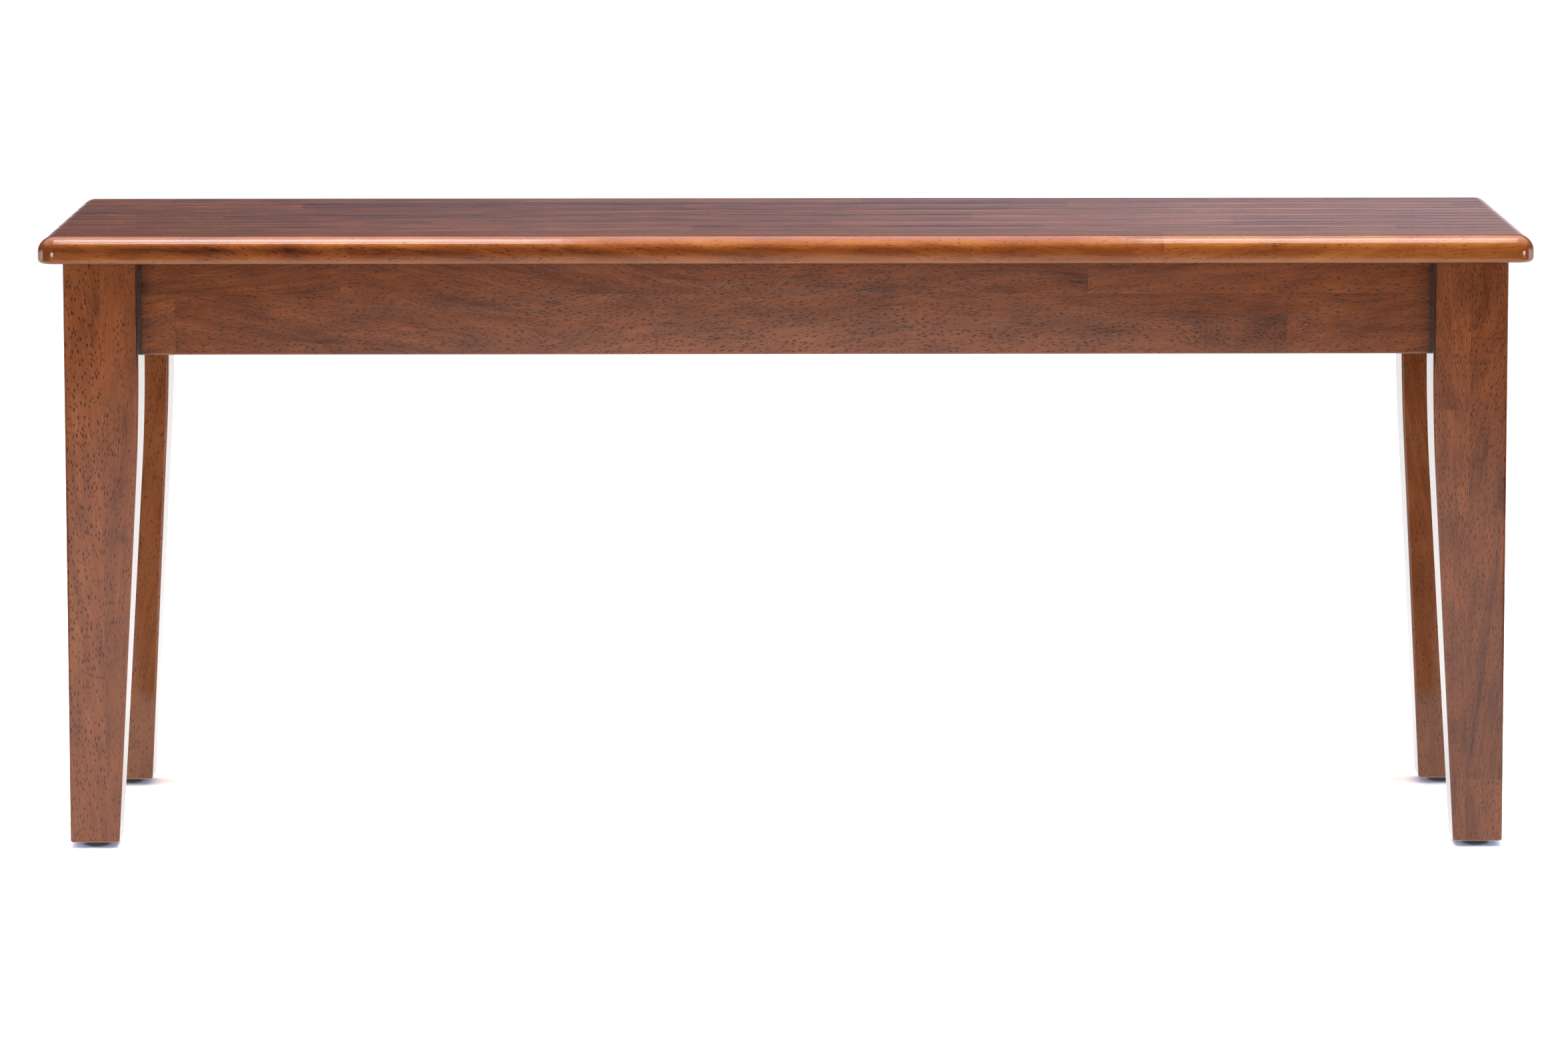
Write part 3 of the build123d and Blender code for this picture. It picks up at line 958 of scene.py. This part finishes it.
@dataclass
class Legs:
    """Four legs, each glued up from two layers, with two inner faces that curve into a taper."""

    outer: tuple[float, float] = (532.0, 161.0)
    width: float = 55.0
    foot_width: float = 36.5
    foot: float = 4.5
    top: float = 437.0
    apron_bottom: float = 367.0
    taper_blend: float = 90.0
    edge_round: float = 2.0
    layer_line: float = 504.5
    flat: float = 17.5
    flat_bottom: float = 375.0
    blend_steps: int = 12
    edge_facets: int = 5
    sharp_angle: float = 30.0
    first_lot: float = 31.0
    waviness: float = 9.0
    contrast: float = 1.3
    # One row for each layer. A first joint is measured up from the leg's middle.
    columns: tuple[str, ...] = ("first_joint", "stave_length", "tone", "pore_share", "pore_scale")
    layers: dict[str, tuple[float, ...]] = field(
        default_factory=lambda: {
            "front_left_outer": (260.0, 620.0, 0.02, 3.2, 1.8),
            "front_left_inner": (250.0, 600.0, -0.01, 0.9, 1.0),
            "front_right_outer": (162.6, 330.0, -0.13, 1.5, 1.1),
            "front_right_inner": (108.9, 400.0, -0.13, 1.1, 0.9),
            # Painted light: the rear legs' layers are toned lighter, to make up for the light that the seat
            # and the front legs keep off them.
            "rear_left_outer": (90.0, 310.0, 0.46, 0.6, 1.2),
            "rear_left_inner": (-60.0, 420.0, 0.46, 0.6, 1.0),
            "rear_right_outer": (30.0, 380.0, 0.10, 0.6, 1.2),
            "rear_right_inner": (-20.0, 420.0, 0.11, 0.6, 1.0),
        }
    )
    # Places are measured up a leg and towards its left from the middle of its layer line.
    swirls: dict[str, tuple[Swirl, ...]] = field(
        default_factory=lambda: {
            "front_left_outer": (
                Swirl(along=188.0, side=4.0, reach=(14.0, 7.0), push=3.0, darkness=0.2),
                Swirl(along=165.0, side=7.0, reach=(9.0, 5.0), push=2.0, darkness=0.15),
            ),
            "front_left_inner": (Swirl(along=15.0, side=-14.0, reach=(6.0, 4.0), push=4.0, darkness=0.22),),
            "front_right_outer": (
                Swirl(along=190.0, side=-12.0, reach=(27.0, 30.0), push=8.0, darkness=0.13),
                Swirl(along=-140.0, side=0.0, reach=(150.0, 60.0), darkness=0.17),
            ),
            "front_right_inner": (
                Swirl(along=-128.0, side=12.0, reach=(10.0, 8.0), push=8.0, darkness=0.16),
                Swirl(along=-140.0, side=0.0, reach=(150.0, 60.0), darkness=0.17),
            ),
        }
    )
    # Painted shade in the corner beside an apron, where the leg is shaded: how far it reaches up, and each of
    # its widths and darknesses.
    painted_shade_reach: float = 38.0
    painted_shades: tuple[tuple[float, float], ...] = ((1.3, 1.3), (4.0, 0.15))

    def painted_corner_shade(self, sides: tuple[int, int]) -> tuple[Swirl, ...]:
        """Paints shade on an inner layer's side, in the corner next to the long apron.

        Args:
            sides: The signs of the corner's X and Y.

        Returns:
            The stains.
        """
        level = (self.apron_bottom + self.top) / 2 - self.top / 2
        side = sides[0] * (self.layer_line - self.outer[0] + self.width)
        return tuple(
            Swirl(along=level, side=side, reach=(self.painted_shade_reach, width), darkness=darkness)
            for width, darkness in self.painted_shades
        )

    @property
    def bend_level(self) -> float:
        """The level at which the taper would start if it had no blend."""
        return self.apron_bottom - self.taper_blend / 2

    @property
    def taper(self) -> float:
        """The taper's angle in radians."""
        return math.atan((self.width - self.foot_width) / (self.bend_level - self.foot))

    @property
    def blend_end(self) -> float:
        """The level at which the blend runs out into the straight taper."""
        return self.bend_level - self.taper_blend / 2 * math.cos(self.taper)

    def inset(self, level: float) -> float:
        """Works out how far an inner face has come in.

        Args:
            level: The height above the floor.

        Returns:
            How far it has come in there.
        """
        if level >= self.apron_bottom:
            return 0.0
        if level >= self.blend_end:
            radius = self.taper_blend / 2 / math.tan(self.taper / 2)
            return radius - math.sqrt(radius**2 - (self.apron_bottom - level) ** 2)
        return (self.bend_level - level) * math.tan(self.taper)

    def rear_right(self) -> Mesh:
        """Shapes the rear right leg in one piece.

        Returns:
            The leg.
        """
        inner = (self.outer[0] - self.width, self.outer[1] - self.width)
        leg = new_block((*inner, self.foot), (*self.outer, self.top))
        step = (self.apron_bottom - self.blend_end) / self.blend_steps
        for number in range(self.blend_steps + 1):
            level = (0, 0, self.apron_bottom - number * step)
            geometry = [*leg.verts, *leg.edges, *leg.faces]
            bmesh.ops.bisect_plane(leg, geom=geometry, dist=ON_PLANE, plane_co=level, plane_no=(0, 0, 1))
        for vert in leg.verts:
            inset = self.inset(vert.co.z)
            for axis in (0, 1):
                if vert.co[axis] < inner[axis] + ON_FACE:
                    vert.co[axis] += inset
        bmesh.ops.recalc_face_normals(leg, faces=leg.faces)
        arrises = [
            edge
            for edge in leg.edges
            if edge.calc_face_angle(0.0) > math.radians(self.sharp_angle)
            and min(vert.co.z for vert in edge.verts) < self.top - ON_FACE
        ]
        round_edges(leg, arrises, self.edge_round, self.edge_facets)
        return self._with_flat(leg, inner)

    def _with_flat(self, leg: Mesh, inner: tuple[float, float]) -> Mesh:
        """Cuts the flat for the leg bolts across a leg's inner corner.

        Args:
            leg: The leg, which is used up.
            inner: Where its two inner faces lie.

        Returns:
            The leg with its flat.
        """
        low = (-self.width, -self.width, self.flat_bottom)
        wedge = new_block(low, (0, self.width, self.top + self.width))
        bmesh.ops.rotate(wedge, matrix=Matrix.Rotation(math.radians(45), 3, "Z"), verts=wedge.verts)
        reach = (inner[0] + self.flat / 2, inner[1] + self.flat / 2, 0)
        bmesh.ops.translate(wedge, vec=reach, verts=wedge.verts)
        tools = []
        for name, mesh in (("leg_blank", leg), ("flat_cutter", wedge)):
            data = bpy.data.meshes.new(name)
            mesh.to_mesh(data)
            mesh.free()
            tool = bpy.data.objects.new(name, data)
            bpy.context.scene.collection.objects.link(tool)
            tools.append(tool)
        cut = tools[0].modifiers.new("flat", "BOOLEAN")
        cut.operation = "DIFFERENCE"
        cut.object = tools[1]
        cut.solver = "EXACT"
        graph = bpy.context.evaluated_depsgraph_get()
        shaped = bmesh.new()
        shaped.from_mesh(tools[0].evaluated_get(graph).to_mesh())
        for tool in tools:
            data = tool.data
            bpy.data.objects.remove(tool)
            bpy.data.meshes.remove(data)
        return shaped

    def build(self, finish: WoodFinish) -> None:
        """Makes the two layers of each leg and dresses them.

        Args:
            finish: The legs' finish.
        """
        leg = self.rear_right()
        line = (self.layer_line, 0, 0)
        halves = {"outer": saw(leg, line, (-1, 0, 0)), "inner": saw(leg, line, (1, 0, 0))}
        middle = self.outer[1] - self.width / 2
        for index, (corner, sides) in enumerate(CORNERS.items()):
            for layer, half in halves.items():
                key = f"{corner}_{layer}"
                node = f"{corner}_leg_{layer}_layer"
                # Painted shade in the inner layer's corner by the apron.
                painted_shades = self.painted_corner_shade(sides) if layer == "inner" else ()
                cut = Cut(
                    name=node,
                    grain=Grain.UPRIGHT,
                    centre=(sides[0] * self.layer_line, sides[1] * middle, self.top / 2),
                    lot=self.first_lot + 2 * index + (layer == "inner"),
                    waviness=self.waviness,
                    contrast=self.contrast,
                    swirls=(*painted_shades, *self.swirls.get(key, ())),
                    **dict(zip(self.columns, self.layers[key])),
                )
                mirrored = mirror_to(half, sides)
                finish_piece(mirrored, [node], f"{node}_finished", finish.material(cut))


@dataclass
class Aprons:
    """Four aprons, each two strips glued edge to edge, with their lower arrises eased."""

    long_half: float = 477.0
    end_half: float = 106.0
    long_inner: float = 123.5
    end_inner: float = 494.5
    thickness: float = 20.0
    bottom: float = 367.0
    strip_line: float = 412.0
    top: float = 437.0
    edge_round: float = 1.5
    edge_facets: int = 4
    first_lot: float = 51.0
    pore_scale: float = 1.1
    contrast: float = 1.35
    # One row for each strip.
    columns: tuple[str, ...] = ("first_joint", "stave_length", "tone", "pore_share", "waviness")
    strips: dict[str, tuple[float, ...]] = field(
        default_factory=lambda: {
            "front_upper": (-328.9, 276.0, -0.05, 1.9, 12.0),
            "front_lower": (-450.9, 273.7, -0.03, 2.0, 16.0),
            "rear_upper": (-210.0, 276.0, 0.0, 0.75, 14.0),
            "rear_lower": (-330.0, 270.0, 0.0, 0.75, 16.0),
            "left_upper": (60.0, 280.0, 0.0, 0.75, 12.0),
            "left_lower": (-40.0, 276.0, 0.02, 0.75, 12.0),
            "right_upper": (-75.0, 280.0, 0.0, 0.75, 12.0),
            "right_lower": (38.0, 276.0, -0.02, 0.75, 12.0),
        }
    )
    swirls: dict[str, tuple[Swirl, ...]] = field(
        default_factory=lambda: {
            "front_lower": (
                Swirl(along=341.0, side=-14.0, reach=(34.0, 13.0), push=16.0, darkness=0.10),
                Swirl(along=-353.9, side=-5.0, reach=(10.0, 5.0), push=7.0, darkness=0.22),
                Swirl(along=330.0, side=0.0, reach=(150.0, 60.0), darkness=0.09),
            ),
            "front_upper": (
                Swirl(along=360.0, side=0.0, reach=(180.0, 60.0), darkness=0.09),
                Swirl(along=262.0, side=6.0, reach=(40.0, 8.0), push=6.0, darkness=0.10),
            ),
        }
    )
    # Painted shade beside a leg, where the leg shades the apron, over the apron's whole height: its widths
    # and darknesses.
    painted_shade_height: float = 400.0
    painted_shades: tuple[tuple[float, float], ...] = ((1.2, 0.8), (9.0, 0.25))

    def corners_of(self, side: str) -> tuple[Point, Point]:
        """Finds where one side's apron lies.

        Args:
            side: The side of the bench.

        Returns:
            The apron's lowest and highest corner.
        """
        if side in ("front", "rear"):
            low, high = (-self.long_half, self.long_inner), (self.long_half, self.long_inner + self.thickness)
            if side == "front":
                low, high = (low[0], -high[1]), (high[0], -low[1])
        else:
            low, high = (self.end_inner, -self.end_half), (self.end_inner + self.thickness, self.end_half)
            if side == "left":
                low, high = (-high[0], low[1]), (-low[0], high[1])
        return (*low, self.bottom), (*high, self.top)

    def painted_corner_shade(self, side: str) -> tuple[Swirl, ...]:
        """Paints shade at both ends of one side's apron, in the corners next to the legs.

        Args:
            side: The side of the bench.

        Returns:
            The painted shades.
        """
        end = self.long_half if side in ("front", "rear") else self.end_half
        return tuple(
            Swirl(along=sign * end, side=0.0, reach=(width, self.painted_shade_height), darkness=darkness)
            for sign in (-1, 1)
            for width, darkness in self.painted_shades
        )

    def build(self, finish: WoodFinish) -> None:
        """Makes the two strips of each apron and dresses them.

        Args:
            finish: The aprons' finish.
        """
        for index, side in enumerate(("front", "rear", "left", "right")):
            low, high = self.corners_of(side)
            apron = new_block(low, high)
            run = 0 if side in ("front", "rear") else 1
            lower_arrises = [
                edge
                for edge in apron.edges
                if abs(edge.verts[0].co[run] - edge.verts[1].co[run]) > ON_FACE
                and max(vert.co.z for vert in edge.verts) < self.bottom + ON_FACE
            ]
            round_edges(apron, lower_arrises, self.edge_round, self.edge_facets)
            line = (0, 0, self.strip_line)
            strips = {"upper": saw(apron, line, (0, 0, -1)), "lower": saw(apron, line, (0, 0, 1))}
            for layer, strip in strips.items():
                key = f"{side}_{layer}"
                node = f"{side}_apron_{layer}_strip"
                middle = (self.strip_line + (self.top if layer == "upper" else self.bottom)) / 2
                cut = Cut(
                    name=node,
                    grain=Grain.ALONG_BENCH if run == 0 else Grain.ACROSS_BENCH,
                    centre=((low[0] + high[0]) / 2, (low[1] + high[1]) / 2, middle),
                    lot=self.first_lot + 2 * index + (layer == "upper"),
                    pore_scale=self.pore_scale,
                    contrast=self.contrast,
                    swirls=(*self.painted_corner_shade(side), *self.swirls.get(key, ())),
                    **dict(zip(self.columns, self.strips[key])),
                )
                finish_piece(strip, [node], f"{node}_finished", finish.material(cut))


@dataclass
class Underframe:
    """What holds the bench together out of sight: corner blocks, centre brace, dowels and steel fasteners."""

    block_centre: Point = (467.0, 96.0, 407.0)
    block_waviness: float = 6.0
    first_block_lot: float = 71.0
    brace_centre: Point = (0.0, 0.0, 427.0)
    brace_waviness: float = 8.0
    brace_lot: float = 81.0
    dowel_finish: SmallPartFinish = TurnedBeech()
    steel_finish: SmallPartFinish = ZincPlatedSteel()
    steel_nodes: tuple[str, ...] = (
        "leg_bolts",
        "leg_bolt_washers",
        "leg_bolt_spring_washers",
        "leg_bolt_nuts",
        "corner_block_to_apron_screws",
        "corner_block_to_seat_screws",
        "brace_to_seat_screws",
        "glide_nails",
    )

    def dress(self, nodes: dict[str, bpy.types.Object], finish: WoodFinish) -> None:
        """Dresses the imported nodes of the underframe.

        Args:
            nodes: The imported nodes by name.
            finish: The bare wood of the blocks and the brace.
        """
        x, y, z = self.block_centre
        blocks = [
            Cut(
                name=f"{corner}_corner_block",
                grain=Grain.FALLING_DIAGONAL if sides[0] == sides[1] else Grain.RISING_DIAGONAL,
                centre=(sides[0] * x, sides[1] * y, z),
                lot=self.first_block_lot + index,
                waviness=self.block_waviness,
            )
            for index, (corner, sides) in enumerate(CORNERS.items())
        ]
        brace = Cut(
            name="centre_brace",
            grain=Grain.ACROSS_BENCH,
            centre=self.brace_centre,
            lot=self.brace_lot,
            waviness=self.brace_waviness,
        )
        for cut in (*blocks, brace):
            dress_node(nodes[cut.name], finish.material(cut))
        dress_node(nodes["brace_dowels"], self.dowel_finish.material())
        steel = self.steel_finish.material()
        for name in self.steel_nodes:
            dress_node(nodes[name], steel)


@dataclass
class Glides:
    """The four nailed nylon glides under the feet."""

    finish: SmallPartFinish = MouldedNylon()

    def dress(self, nodes: dict[str, bpy.types.Object]) -> None:
        """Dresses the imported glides.

        Args:
            nodes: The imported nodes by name.
        """
        nylon = self.finish.material()
        for corner in CORNERS:
            dress_node(nodes[f"{corner}_glide"], nylon)


@dataclass(frozen=True)
class SoftBox:
    """A flat soft light. It faces the floor if it has no target."""

    name: str
    place: Point
    size: tuple[float, float]
    radiance: float
    target: Point | None = None
    lights: bool = True
    shines: bool = True

    def hang(self) -> None:
        """Hangs the soft box."""
        lamp = bpy.data.lights.new(self.name, "AREA")
        lamp.shape = "RECTANGLE"
        lamp.size, lamp.size_y = self.size
        lamp.energy = self.radiance * math.pi * self.size[0] * self.size[1]
        hung = bpy.data.objects.new(self.name, lamp)
        hung.location = self.place
        direction = Vector(self.target or (*self.place[:2], 0.0)) - Vector(self.place)
        hung.rotation_euler = direction.to_track_quat("-Z", "Y").to_euler()
        hung.visible_camera = False
        hung.visible_diffuse = self.lights
        hung.visible_glossy = self.shines
        bpy.context.scene.collection.objects.link(hung)


# Four boxes hang over the bench's corners, and its gloss sees them with dark gaps between. The middle box
# and the front one light it without a highlight, and the low ones light its ends.
SOFT_BOXES = (
    SoftBox("overhead_left_front", (-0.455, -0.655, 1.95), (0.49, 0.32), 8.2),
    SoftBox("overhead_left_rear", (-0.455, -0.065, 1.95), (0.49, 0.67), 7.7),
    SoftBox("overhead_right_front", (0.52, -0.655, 1.95), (0.37, 0.32), 7.6),
    SoftBox("overhead_right_rear", (0.52, -0.065, 1.95), (0.37, 0.67), 7.0),
    SoftBox("overhead_middle", (0.06, -0.9, 1.95), (0.5, 0.8), 11.5, (0.06, -0.2, 0.4), shines=False),
    SoftBox("low_left", (-3.0, 0.0, 0.45), (1.0, 0.8), 2.2, (0.0, 0.0, 0.4)),
    SoftBox("low_right", (3.0, 0.0, 0.45), (1.0, 0.8), 2.2, (0.0, 0.0, 0.4)),
    SoftBox("front_fill", (0.0, -4.4, 0.9), (3.0, 1.5), 4.8, (0.0, 0.0, 0.3), shines=False),
)

# These two only glint in the seat's rounded front corners. They hang below its top, which can't mirror them.
CORNER_LAMPS = tuple(
    SoftBox(f"corner_lamp_{side}", place, (0.085, 0.04), 15.0, corner, lights=False)
    for side, place, corner in (
        ("left", (-0.621, -0.457, 0.436), (-0.54, -0.175, 0.436)),
        ("right", (0.759, -0.376, 0.436), (0.54, -0.175, 0.436)),
    )
)


@dataclass
class Studio:
    """A plain pale floor, soft lights and the camera at the photograph's viewing angle. In metres."""

    floor_half: float = 60.0
    floor_colour: float = 0.5
    # The camera sees white paper a little overexposed, so that only the shadow right under a foot shows.
    seen_floor_colour: float = 3.6
    shiny_floor_colour: float = 0.4
    shiny_floor_glow: float = 1.1
    paper_tint: str = "#f8f7f8"
    # The painted contact shadow, where something touches the paper, reaches this far, and is a little blue.
    painted_contact_shadow_reach: float = 0.012
    contact_samples: int = 4
    painted_contact_shadow_tint: str = "#7ca6d6"
    # The bench's gloss sees bright paper in an oval round it and behind a line just in front of it.
    bright_floor: tuple[float, float] = (1.1, 4.6)
    bright_floor_rim: tuple[float, float] = (0.72, 1.15)
    bright_floor_front: float = -0.4
    dark_floor_share: float = 0.02
    sky_light: float = 0.36
    room_tint: str = "#ffecfb"
    # The room that the gloss sees behind the bench: each row says between which heights or sides of the
    # view a wall's brightness changes, and from what to what.
    wall_left_to_right: tuple[float, float, float, float] = (-0.09, 0.09, 0.10, 0.34)
    wall_upwards: tuple[float, float, float, float] = (0.04, 0.135, 1.8, 0.1)
    ceiling_rise: tuple[float, float] = (0.5, 0.75)
    ceiling: float = 2.1
    rear_turn: tuple[float, float] = (-0.6, 0.2)
    front_wall: float = 0.03
    camera_place: Point = (-0.0098, -5.38, 0.925)
    camera_reach: float = 200.0
    sensor_width: float = 36.0
    yaw: float = 0.0907
    pitch: float = 7.4342
    roll: float = -0.056
    lens: float = 163.56
    boxes: tuple[SoftBox, ...] = SOFT_BOXES + CORNER_LAMPS

    def _paper(self) -> bpy.types.Material:
        """Mixes the floor's paper, which the camera, the gloss and the bench's wood each see in its own way.

        Returns:
            The material.
        """
        material, tree = new_material("floor_paper")
        add = partial(add_node, tree)
        path = add("LightPath")
        shiny = add("Math", (path["Is Glossy Ray"], path["Is Transmission Ray"]), operation="MAXIMUM")[0]
        geometry = add("NewGeometry")
        shares = (1 / self.bright_floor[0], 1 / self.bright_floor[1], 0.0)
        scaled = add("VectorMath", (geometry["Position"], shares), operation="MULTIPLY")[0]
        distance = add("VectorMath", (scaled,), operation="LENGTH")["Value"]
        rim = (distance, *self.bright_floor_rim, 1.0, self.dark_floor_share)
        oval = add("MapRange", rim, interpolation_type="SMOOTHSTEP")[0]
        depth = add("SeparateXYZ", (geometry["Position"],))[1]
        near = add("Math", (depth, self.bright_floor_front), operation="GREATER_THAN")[0]
        bright = add("Math", (oval, near), operation="MAXIMUM")[0]
        shiny_shade = add("Math", (bright, self.shiny_floor_colour), operation="MULTIPLY")[0]
        shade = add("Mix", {0: shiny, 2: self.floor_colour, 3: shiny_shade}, data_type="FLOAT")[0]
        # Painted contact shadow: the camera sees the paper darker and bluer where ambient occlusion finds
        # something close.
        reach = {"Distance": self.painted_contact_shadow_reach}
        open_share = add("AmbientOcclusion", reach, samples=self.contact_samples)["AO"]
        tints = {0: open_share, 6: linear(self.painted_contact_shadow_tint), 7: linear("#ffffff")}
        seen_tint = add("Mix", tints, data_type="RGBA")[2]
        seen = add("VectorMath", {0: seen_tint, "Scale": self.seen_floor_colour}, operation="SCALE")[0]
        colour = add("Mix", {0: path["Is Camera Ray"], 6: shade, 7: seen}, data_type="RGBA")[2]
        matt = add("BsdfDiffuse", {"Color": colour})[0]
        shiny_glow = add("Math", (bright, self.shiny_floor_glow), operation="MULTIPLY")[0]
        glow = add("Math", (shiny_glow, shiny), operation="MULTIPLY")[0]
        lit = add("Emission", {"Color": linear(self.paper_tint), "Strength": glow})[0]
        top = add("AddShader", (matt, lit))[0]
        below = add("BsdfTransparent")[0]
        surface = add("MixShader", (geometry["Backfacing"], top, below))[0]
        add("OutputMaterial", {"Surface": surface})
        return material

    def lay_floor(self) -> None:
        """Lays the floor. It shows pale with a faint shadow, and lights the bench as white paper would."""
        floor_mesh = bmesh.new()
        bmesh.ops.create_grid(floor_mesh, x_segments=1, y_segments=1, size=self.floor_half)
        data = bpy.data.meshes.new("floor")
        floor_mesh.to_mesh(data)
        floor_mesh.free()
        floor = bpy.data.objects.new("floor", data)
        bpy.context.scene.collection.objects.link(floor)
        data.materials.append(self._paper())

    def light_sky(self) -> None:
        """Lights the bench from all round, and shows white to the camera and a dim studio to its gloss."""
        world = bpy.data.worlds.new("studio")
        bpy.context.scene.world = world
        world.use_nodes = True
        tree = world.node_tree
        tree.nodes.clear()
        add = partial(add_node, tree)
        path = add("LightPath")
        x, y, z = add("SeparateXYZ", (add("TexCoord")["Generated"],))
        aside = add("MapRange", (x, *self.wall_left_to_right))[0]
        sinking = add("MapRange", (z, *self.wall_upwards))[0]
        wall = add("Math", (aside, sinking), operation="MULTIPLY")[0]
        rise = add("MapRange", (z, *self.ceiling_rise))[0]
        behind = add("Mix", {0: rise, 2: wall, 3: self.ceiling}, data_type="FLOAT")[0]
        facing = add("MapRange", (y, *self.rear_turn))[0]
        room = add("Mix", {0: facing, 2: self.front_wall, 3: behind}, data_type="FLOAT")[0]
        seen = add("Math", (path["Is Camera Ray"], path["Is Transmission Ray"]), operation="MAXIMUM")[0]
        soft = add("Mix", {0: path["Is Glossy Ray"], 2: self.sky_light, 3: room}, data_type="FLOAT")[0]
        strength = add("Mix", {0: seen, 2: soft, 3: 1.0}, data_type="FLOAT")[0]
        tints = {0: path["Is Glossy Ray"], 6: linear("#ffffff"), 7: linear(self.room_tint)}
        tint = add("Mix", tints, data_type="RGBA")[2]
        glow = add("Background", {"Color": tint, "Strength": strength})[0]
        add("OutputWorld", {"Surface": glow})

    def place_camera(self) -> None:
        """Places the camera where the photograph was taken from."""
        yaw, pitch, roll = (math.radians(angle) for angle in (self.yaw, self.pitch, self.roll))
        forward = Vector((math.sin(yaw) * math.cos(pitch), math.cos(yaw) * math.cos(pitch), -math.sin(pitch)))
        level_right = Vector((math.cos(yaw), -math.sin(yaw), 0.0))
        level_up = level_right.cross(forward)
        right = math.cos(roll) * level_right + math.sin(roll) * level_up
        up = -math.sin(roll) * level_right + math.cos(roll) * level_up
        data = bpy.data.cameras.new("camera")
        data.sensor_width = self.sensor_width
        data.lens = self.lens
        data.clip_end = self.camera_reach
        camera = bpy.data.objects.new("camera", data)
        matrix = Matrix((right, up, -forward)).transposed().to_4x4()
        matrix.translation = Vector(self.camera_place)
        camera.matrix_world = matrix
        bpy.context.scene.collection.objects.link(camera)
        bpy.context.scene.camera = camera

    def build(self) -> None:
        """Sets up the floor, the lights and the camera."""
        self.lay_floor()
        self.light_sky()
        for box in self.boxes:
            box.hang()
        self.place_camera()
        bpy.context.scene.view_settings.view_transform = "Standard"
        logger.info("studio: %d soft boxes", len(self.boxes))


def main() -> None:
    """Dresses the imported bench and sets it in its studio."""
    logging.basicConfig(level=logging.INFO, format="%(message)s")
    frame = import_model()
    nodes = frame["nodes"]
    Seat().build(FLAT_SANDED_WALNUT_STAIN, EDGE_SHEEN_WALNUT_STAIN)
    Legs().build(WALNUT_STAIN)
    Aprons().build(WALNUT_STAIN)
    Underframe().dress(nodes, BARE)
    Glides().dress(nodes)
    Studio().build()


if __name__ == "__main__":
    main()
